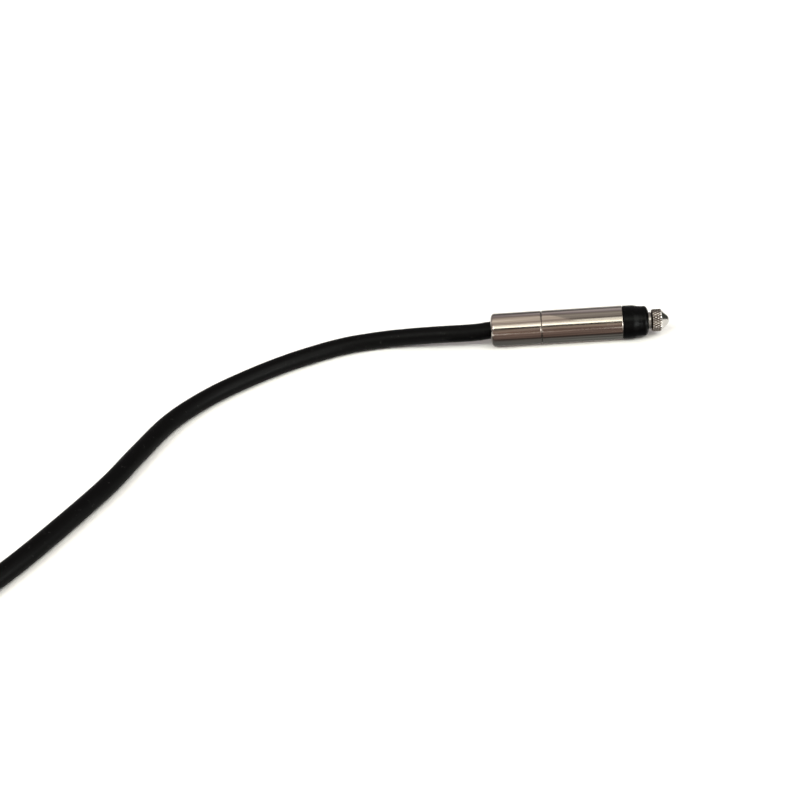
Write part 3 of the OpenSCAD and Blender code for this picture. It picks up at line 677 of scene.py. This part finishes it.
# Scales of the tool lines: along or round an axis
alongX = (60, 5000, 5000)
roundX = (9000, 60, 60)
roundY = (60, 9000, 60)
ground = (25, 1600, 1600)
wound = (8000, 30, 30)
polished = (900, 900, 900)
metalLooks = {
    "barrel_steel": metal((0.21, 0.18, 0.165), (0.48, 0.44, 0.40), ground, 0.000003,
                          0.12, 0.19, (22, 1500, 1500)),
    "turned_steel": metal((0.44, 0.43, 0.42), (0.52, 0.51, 0.50), roundX, 0.000004, 0.22, 0.34),
    "bronze": metal((0.42, 0.27, 0.12), (0.50, 0.33, 0.16), roundX, 0.000005, 0.25, 0.38),
    "spring_steel": metal((0.42, 0.41, 0.41), (0.52, 0.51, 0.50), roundX, 0.000002, 0.20, 0.30),
    "shield_alloy": metal((0.36, 0.35, 0.34), (0.44, 0.42, 0.40), alongX, 0.000003, 0.32, 0.45),
    "copper_wire": metal((0.60, 0.22, 0.09), (0.72, 0.32, 0.15), wound, 0.00002, 0.24, 0.32),
    "gold_pins": metal((0.74, 0.50, 0.18), (0.82, 0.60, 0.26), roundY, 0.000002, 0.14, 0.22),
    "ferrule_brass": metal((0.56, 0.40, 0.15), (0.68, 0.50, 0.22), roundX, 0.000005, 0.22, 0.36),
    "rod_steel": metal((0.24, 0.225, 0.21), (0.31, 0.29, 0.275), roundX, 0.000001, 0.28, 0.36),
    "contact_steel": metal((0.48, 0.465, 0.45), (0.56, 0.54, 0.52), roundX, 0.000002, 0.11, 0.17),
    "hard_ball": metal((0.50, 0.50, 0.50), (0.56, 0.56, 0.55), polished, 0.000001, 0.08, 0.16),
    "cage_brass": metal((0.58, 0.42, 0.17), (0.66, 0.48, 0.22), roundX, 0.000004, 0.22, 0.34),
    "plug_steel": metal((0.50, 0.49, 0.47), (0.58, 0.57, 0.55), roundY, 0.000002, 0.16, 0.26),
}
softLooks = {
    "boot_rubber": skin((0.0014, 0.0014, 0.0016), (0.013, 0.013, 0.013), 6000.0, 0.00001,
                        0.25, 0.34, 0.05),
    "former_plastic": skin((0.62, 0.55, 0.40), (0.66, 0.60, 0.46), 3000.0, 0.00001,
                           0.40, 0.55, 0.4),
    "disc_laminate": skin((0.05, 0.16, 0.08), (0.12, 0.20, 0.10), 4000.0, 0.00001,
                          0.30, 0.45, 0.4),
    "wire_insulation": skin((0.42, 0.03, 0.02), (0.46, 0.06, 0.04), 3000.0, 0.000005,
                            0.25, 0.35, 0.5),
    "seal_rubber": skin((0.02, 0.02, 0.02), (0.05, 0.05, 0.05), 5000.0, 0.00001,
                        0.55, 0.70, 0.25),
    "ferrite": skin((0.045, 0.045, 0.05), (0.09, 0.09, 0.09), 7000.0, 0.00003,
                    0.45, 0.60, 0.4),
    "cable_jacket": skin((0.0014, 0.0014, 0.0015), (0.02, 0.02, 0.019), 3500.0, 0.00001,
                         0.36, 0.50, 0.05, 900.0),
    "tie_nylon": skin((0.010, 0.010, 0.011), (0.03, 0.03, 0.03), 3000.0, 0.000008,
                      0.35, 0.48, 0.25),
    "plug_plastic": skin((0.009, 0.009, 0.010), (0.03, 0.03, 0.03), 3800.0, 0.00003,
                         0.45, 0.58, 0.22),
    "insert_plastic": skin((0.035, 0.035, 0.037), (0.06, 0.06, 0.06), 3000.0, 0.000005,
                           0.28, 0.38, 0.5),
    "relief_rubber": skin((0.007, 0.007, 0.008), (0.03, 0.03, 0.03), 4500.0, 0.00002,
                          0.50, 0.62, 0.15),
}
finishes = {}
for slotName, look in metalLooks.items():
    finishes[slotName] = metalFinish(slotName, look)
for slotName, look in softLooks.items():
    finishes[slotName] = softFinish(slotName, look)
print(len(finishes), "finishes made")

nodeSlots = {
    "rear_sleeve": "barrel_steel", "front_tube": "barrel_steel", "nose_bush": "turned_steel",
    "boot": "boot_rubber", "stop_bush": "bronze", "spring_seat": "turned_steel",
    "return_spring": "spring_steel", "shield_tube": "shield_alloy",
    "coil_former": "former_plastic", "winding_front": "copper_wire",
    "winding_rear": "copper_wire", "terminal_disc": "disc_laminate",
    "solder_pins": "gold_pins", "lead_wires": "wire_insulation", "body_seal": "seal_rubber",
    "cable_seal": "seal_rubber", "cable_ferrule": "ferrule_brass", "plunger": "rod_steel",
    "anti_rotation_pin": "turned_steel", "core_rod": "turned_steel",
    "ferrite_core": "ferrite", "contact_tip": "contact_steel", "contact_ball": "hard_ball",
    "ball_cage": "cage_brass", "guide_balls": "hard_ball", "cable_run": "cable_jacket",
    "cable_coil": "cable_jacket", "cable_lead": "cable_jacket", "cable_ties": "tie_nylon",
    "plug_body": "plug_plastic", "plug_shield": "plug_steel",
    "plug_insert": "insert_plastic", "plug_pins": "gold_pins", "plug_relief": "relief_rubber",
}
for nodeName, slotName in nodeSlots.items():
    mesh = cadNodes[nodeName].data
    mesh.materials.clear()
    mesh.materials.append(finishes[slotName])
cablePiece.data.materials.append(finishes["cable_jacket"])


# Turned and moulded pieces, made as one closed outline swung round the axis
def roundCorners(corners, steps=5, most=0.45):
    # Each corner is (along, radius, rounding), which takes at most a share of the edges beside it
    outline = []
    count = len(corners)
    for i, (x, r, size) in enumerate(corners):
        here = Vector((x, r))
        if size <= 0:
            outline.append(here)
            continue
        back = Vector(corners[i - 1][:2]) - here
        on = Vector(corners[(i + 1) % count][:2]) - here
        reach = min(size, most * back.length, most * on.length)
        first, last = here + back.normalized() * reach, here + on.normalized() * reach
        for k in range(steps + 1):
            t = k / steps
            outline.append(first * (1 - t) ** 2 + here * 2 * t * (1 - t) + last * t ** 2)
    return outline


def swing(name, outline, start, sides):
    # start is the x from which the outline's lengths count
    points, faces = [], []
    count = len(outline)
    for x, r in outline:
        for k in range(sides):
            angle = 2 * math.pi * k / sides
            points.append((start + x * mm, r * mm * math.cos(angle),
                           axisZ + r * mm * math.sin(angle)))
    for i in range(count):
        j = (i + 1) % count
        for k in range(sides):
            n = (k + 1) % sides
            faces.append((i * sides + k, j * sides + k, j * sides + n, i * sides + n))
    mesh = bpy.data.meshes.new(name)
    mesh.from_pydata(points, [], faces)
    mesh.shade_smooth()
    mesh.set_sharp_from_angle(angle=math.radians(40))
    mesh.update()
    return addObject(name, mesh)


def finishPiece(piece, body, slotName, *nodes):
    piece.data.materials.append(finishes[slotName])
    if body:
        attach(piece, body)
    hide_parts(*nodes)


# Barrel: sleeve and tube, in millimetres, with lengths from the rear end on
barrel = {"radius": 4, "edge": 0.06, "sides": 192}
sleeve = {
    "length": 12, "round": 0.9, "roundSteps": 8, "seamChamfer": 0.15,
    "cableHole": 2.2, "holeEdge": 0.12, "innerEdge": 0.1, "wall": 2.5,
    "bore": 3.3, "spigotSeat": 9, "spigotBore": 3.6, "mouthEdge": 0.03,
}
tube = {
    "rear": 9.02, "spigot": 3.58, "rearBore": 2.72, "sealFrom": 10.4, "sealTo": 11.1,
    "sealGroove": 3.16, "seam": 12.02, "seamChamfer": 0.2, "webFrom": 21.6, "web": 2.15,
    "raceFrom": 22.2, "race": 3, "bushFrom": 29.2, "bushSeat": 3.2, "front": 31,
    "frontChamfer": 0.25, "boreEdge": 0.05,
}


def sleeveOutline():
    radius, edge, size = barrel["radius"], barrel["edge"], sleeve["round"]
    corners = [(0, sleeve["cableHole"], sleeve["holeEdge"])]
    for i in range(sleeve["roundSteps"] + 1):
        turn = math.pi / 2 * i / sleeve["roundSteps"]
        corners.append((size * (1 - math.cos(turn)), radius - size * (1 - math.sin(turn)), 0))
    return corners + [
        (sleeve["length"] - sleeve["seamChamfer"], radius, edge),
        (sleeve["length"], radius - sleeve["seamChamfer"], edge),
        (sleeve["length"], sleeve["spigotBore"], sleeve["mouthEdge"]),
        (sleeve["spigotSeat"], sleeve["spigotBore"], 0),
        (sleeve["spigotSeat"], sleeve["bore"], 0),
        (sleeve["wall"], sleeve["bore"], 0),
        (sleeve["wall"], sleeve["cableHole"], sleeve["innerEdge"]),
    ]


def tubeOutline():
    radius, edge = barrel["radius"], barrel["edge"]
    return [
        (tube["rear"], tube["rearBore"], 0),
        (tube["rear"], tube["spigot"], tube["boreEdge"]),
        (tube["sealFrom"], tube["spigot"], 0),
        (tube["sealFrom"], tube["sealGroove"], 0),
        (tube["sealTo"], tube["sealGroove"], 0),
        (tube["sealTo"], tube["spigot"], 0),
        (tube["seam"], tube["spigot"], 0),
        (tube["seam"], radius - tube["seamChamfer"], edge),
        (tube["seam"] + tube["seamChamfer"], radius, edge),
        (tube["front"] - tube["frontChamfer"], radius, edge),
        (tube["front"], radius - tube["frontChamfer"], edge),
        (tube["front"], tube["bushSeat"], tube["boreEdge"]),
        (tube["bushFrom"], tube["bushSeat"], 0),
        (tube["bushFrom"], tube["race"], 0),
        (tube["raceFrom"], tube["race"], 0),
        (tube["raceFrom"], tube["web"], 0),
        (tube["webFrom"], tube["web"], 0),
        (tube["webFrom"], tube["rearBore"], 0),
    ]


sleevePiece = swing("sleeveShell", roundCorners(sleeveOutline()), rearX, barrel["sides"])
finishPiece(sleevePiece, "housing", "barrel_steel", "rear_sleeve")
tubePiece = swing("tubeShell", roundCorners(tubeOutline()), rearX, barrel["sides"])
finishPiece(tubePiece, "housing", "barrel_steel", "front_tube")
print("barrel turned")

# Boot, in millimetres, with lengths from the tube's front on
boot = {
    # Outside: it narrows by a step, a taper and a shallow groove down to the round nose
    "length": 5.9, "radius": 3.92, "draft": 0.06, "step": 0.24, "stepAt": 2.2, "stepRun": 1.5,
    "taper": 0.1, "groove": 0.03, "grooveAt": 4.4, "grooveRun": 0.5, "noseRun": 0.95,
    "noseDrop": 1.5, "steps": 60, "outerFrom": 0.12,
    "rearEdge": ((0.02, 0.1), (0.05, 0.03)),        # places, and how far below the outside
    # Inside: seat on the bush with a bead in its groove, hollow, and lip in the rod's groove
    "seat": 0.02, "neck": 3.17, "bead": 0.25, "beadFrom": 0.72, "beadTo": 1.18, "neckTo": 1.62,
    "hollow": 2.15, "hollowSteps": 24, "wall": 0.55,
    "rodHole": 2.02, "lip": 1.8, "lipFrom": 5.4, "lipTo": 5.78,
    "movesFrom": 5.2,       # from there on it goes with the rod
    "sides": 160,
}


def bootOuter(t):
    radius = boot["radius"] - boot["draft"] * t / boot["length"]
    radius -= boot["step"] * smooth((t - boot["stepAt"]) / boot["stepRun"])
    radius -= boot["taper"] * smooth((t - boot["stepAt"]) / (boot["length"] - boot["stepAt"]))
    radius -= boot["groove"] * max(0, 1 - ((t - boot["grooveAt"]) / boot["grooveRun"]) ** 2)
    nose = min(1, max(0, (t - boot["length"]) / boot["noseRun"] + 1))
    return radius - boot["noseDrop"] * (1 - math.sqrt(1 - nose ** 2))


def bootOutline():
    length, rodHole, neck = boot["length"], boot["rodHole"], boot["neck"]
    outer = [(t, bootOuter(0) - below) for t, below in boot["rearEdge"]]
    outer.append((boot["outerFrom"], bootOuter(boot["outerFrom"])))
    for i in range(2, boot["steps"] + 1):
        t = length * math.sin(math.pi / 2 * i / boot["steps"])
        if bootOuter(t) > rodHole:
            outer.append((t, bootOuter(t)))
    lip = [(length, rodHole), (boot["lipTo"], rodHole), (boot["lipTo"], boot["lip"]),
           (boot["lipFrom"], boot["lip"])]
    hollow = []
    for i in range(boot["hollowSteps"], -1, -1):
        t = mix(boot["neckTo"], boot["lipFrom"], i / boot["hollowSteps"])
        wall = bootOuter(t + boot["wall"] * t / length) - boot["wall"]
        hollow.append((t, max(boot["hollow"], wall)))
    seat = [
        (boot["neckTo"], neck), (boot["beadTo"], neck), (boot["beadTo"], neck - boot["bead"]),
        (boot["beadFrom"], neck - boot["bead"]), (boot["beadFrom"], neck), (boot["seat"], neck),
    ]
    return [Vector(corner) for corner in outer + lip + hollow + seat]


bootPiece = swing("bootSkin", bootOutline(), frontX, boot["sides"])
finishPiece(bootPiece, None, "boot_rubber", "boot")
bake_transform(bootPiece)
print("boot moulded")

# Return spring, from its seat to the floor of the plunger's pocket
spring = {"wire": 0.0003, "outer": 0.0026, "turns": 8, "closedPitch": 1.1, "steps": 28,
          "sides": 10}


def springPath():
    run = springHigh.x - springLow.x - spring["wire"]
    closed = spring["wire"] * spring["closedPitch"]
    wind = (spring["outer"] - spring["wire"]) / 2
    points = []
    total = spring["turns"] * spring["steps"]
    for i in range(total + 1):
        u = i / spring["steps"]
        if u < 1:
            height = u * closed
        elif u > spring["turns"] - 1:
            height = run - (spring["turns"] - u) * closed
        else:
            height = closed + (run - 2 * closed) * (u - 1) / (spring["turns"] - 2)
        angle = 2 * math.pi * u
        points.append(Vector((
            springLow.x + spring["wire"] / 2 + height,
            wind * math.sin(angle),
            axisZ - wind * math.cos(angle),
        )))
    return points


springPiece = roundBar("springWire", springPath(), spring["wire"] / 2, spring["sides"])
finishPiece(springPiece, None, "spring_steel", "return_spring")
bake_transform(springPiece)
print("spring wound")


# Contact: a knurled band between chamfer and cone, a stud behind it and the ball's pocket in
# front. Sizes are in millimetres, lengths count from its rear face.
contact = {
    "start": 37.55,         # that face, from the rear end of the barrel
    "radius": 2.65, "chamfer": 0.35,
    "knurled": 2.15,
    "past": 0.2,            # how far the knurl's fine rings run on over the cone
    "ringGap": 0.01,        # from the last of them to the first plain ring
    "coneRings": (2.7, 3.2, 3.617),
    "stud": 1.2, "studLength": 3.9, "studEdge": 0.1,
    "ballAt": 2.6786, "pocket": 1.51, "pocketRings": 8,
    "pocketEnd": 8.2,       # in rings, where the pocket closes on the axis
}
knurl = {
    "teeth": 26,
    "row": 0.5545,          # along the axis, from a groove to the next point
    "fine": 8,              # steps in a row, and in half a tooth round
    "low": 2.52, "high": 2.66,              # radii of grooves and points
    "darkest": 2.53, "lightest": 2.74,      # radii between which the grime and painted shade thin out
    "grimeAndShade": (0.05, 0.034, 0.022), "duller": 0.2,
}


def darkenKnurl(material):
    # Grime and painted shade in the knurl's grooves, and duller faces than the turned ones
    nodes, links = material.node_tree.nodes, material.node_tree.links
    shader = nodes["Principled BSDF"]
    tone = shader.inputs["Base Color"].links[0].from_socket
    gloss = shader.inputs["Roughness"].links[0].from_socket
    where = nodes.new("ShaderNodeTexCoord")
    rear = rearX + contact["start"] * mm
    opened = place(nodes, recess, Rear=rear, Front=rear + contact["knurled"] * mm,
                   Low=knurl["darkest"] * mm, High=knurl["lightest"] * mm, Axis=(0, 0, axisZ))
    blend = nodes.new("ShaderNodeMix")
    blend.data_type = "RGBA"
    # Tone of the grime and painted shade at the bottom of the grooves
    blend.inputs["A"].default_value = (*knurl["grimeAndShade"], 1)
    duller = nodes.new("ShaderNodeMath")
    duller.operation = "MULTIPLY_ADD"
    duller.inputs[1].default_value = knurl["duller"]
    links.new(where.outputs["Object"], opened.inputs["Vector"])
    links.new(opened.outputs["Open"], blend.inputs["Factor"])
    links.new(tone, blend.inputs["B"])
    links.new(blend.outputs["Result"], shader.inputs["Base Color"])
    links.new(opened.outputs["Inside"], duller.inputs[0])
    links.new(gloss, duller.inputs[2])
    links.new(duller.outputs[0], shader.inputs["Roughness"])


def contactRadius(x):
    rear = contact["radius"] - contact["chamfer"] + x
    return min(contact["radius"], rear, contact["radius"] + contact["knurled"] - x)


def knurlHeight(across, along):
    # 0 in the grooves of both hands, 1 on the pyramids' points
    hands = []
    for phase in (across + along, across - along):
        part = phase % 2
        hands.append(min(part, 2 - part))
    return min(hands)


def contactRings():
    # Place, radius and, on the knurl, the row's number; and the rings before the first row
    stud, back, edge = contact["stud"], -contact["studLength"], contact["studEdge"]
    rings = [(back, stud - edge, None), (back + edge, stud, None), (0, stud, None)]
    first = len(rings)
    step = knurl["row"] / knurl["fine"]
    count = int((contact["knurled"] + contact["past"]) / step)
    for i in range(count + 1):
        rings.append((i * step, contactRadius(i * step), i + knurl["fine"] // 2))
    for x in (count * step + contact["ringGap"], *contact["coneRings"]):
        rings.append((x, contactRadius(x), None))
    ballAt, pocket = contact["ballAt"], contact["pocket"]
    opening = math.acos((contact["coneRings"][-1] - ballAt) / pocket)
    for i in range(1, contact["pocketRings"] + 1):
        turn = mix(opening, math.pi, i / contact["pocketEnd"])
        rings.append((ballAt + pocket * math.cos(turn), pocket * math.sin(turn), None))
    return rings, first


def makeContact():
    rings, first = contactRings()
    fine = knurl["fine"]
    sides = 2 * knurl["teeth"] * fine
    start = rearX + contact["start"] * mm
    points, faces = [], []
    for x, radius, along in rings:
        for k in range(sides):
            r = radius
            if along is not None:
                height = knurlHeight(k / fine, along / fine)
                r = min(radius, mix(knurl["low"], knurl["high"], height))
            angle = 2 * math.pi * k / sides
            points.append((start + x * mm, r * mm * math.cos(angle),
                           axisZ + r * mm * math.sin(angle)))
    for i in range(len(rings) - 1):
        for k in range(sides):
            here, beside = i * sides + k, i * sides + (k + 1) % sides
            above, across = here + sides, beside + sides
            # Each square is split along the groove or edge that crosses it
            if (k + i - first + fine // 2 + 1) % fine:
                faces += [(here, across, beside), (here, above, across)]
            else:
                faces += [(here, above, beside), (beside, above, across)]
    rearPoint, frontPoint = len(points), len(points) + 1
    last = (len(rings) - 1) * sides
    points.append((start + rings[0][0] * mm, 0, axisZ))
    points.append((start + rings[-1][0] * mm, 0, axisZ))
    for k in range(sides):
        n = (k + 1) % sides
        faces += [(rearPoint, k, n), (frontPoint, last + n, last + k)]
    mesh = bpy.data.meshes.new("contactShell")
    mesh.from_pydata(points, [], faces)
    mesh.shade_smooth()
    mesh.set_sharp_from_angle(angle=math.radians(25))
    mesh.update()
    return addObject("contactShell", mesh)


darkenKnurl(finishes["contact_steel"])
contactPiece = makeContact()
finishPiece(contactPiece, "plunger", "contact_steel", "contact_tip")
print("contact knurled")

scene.view_settings.view_transform = "Standard"
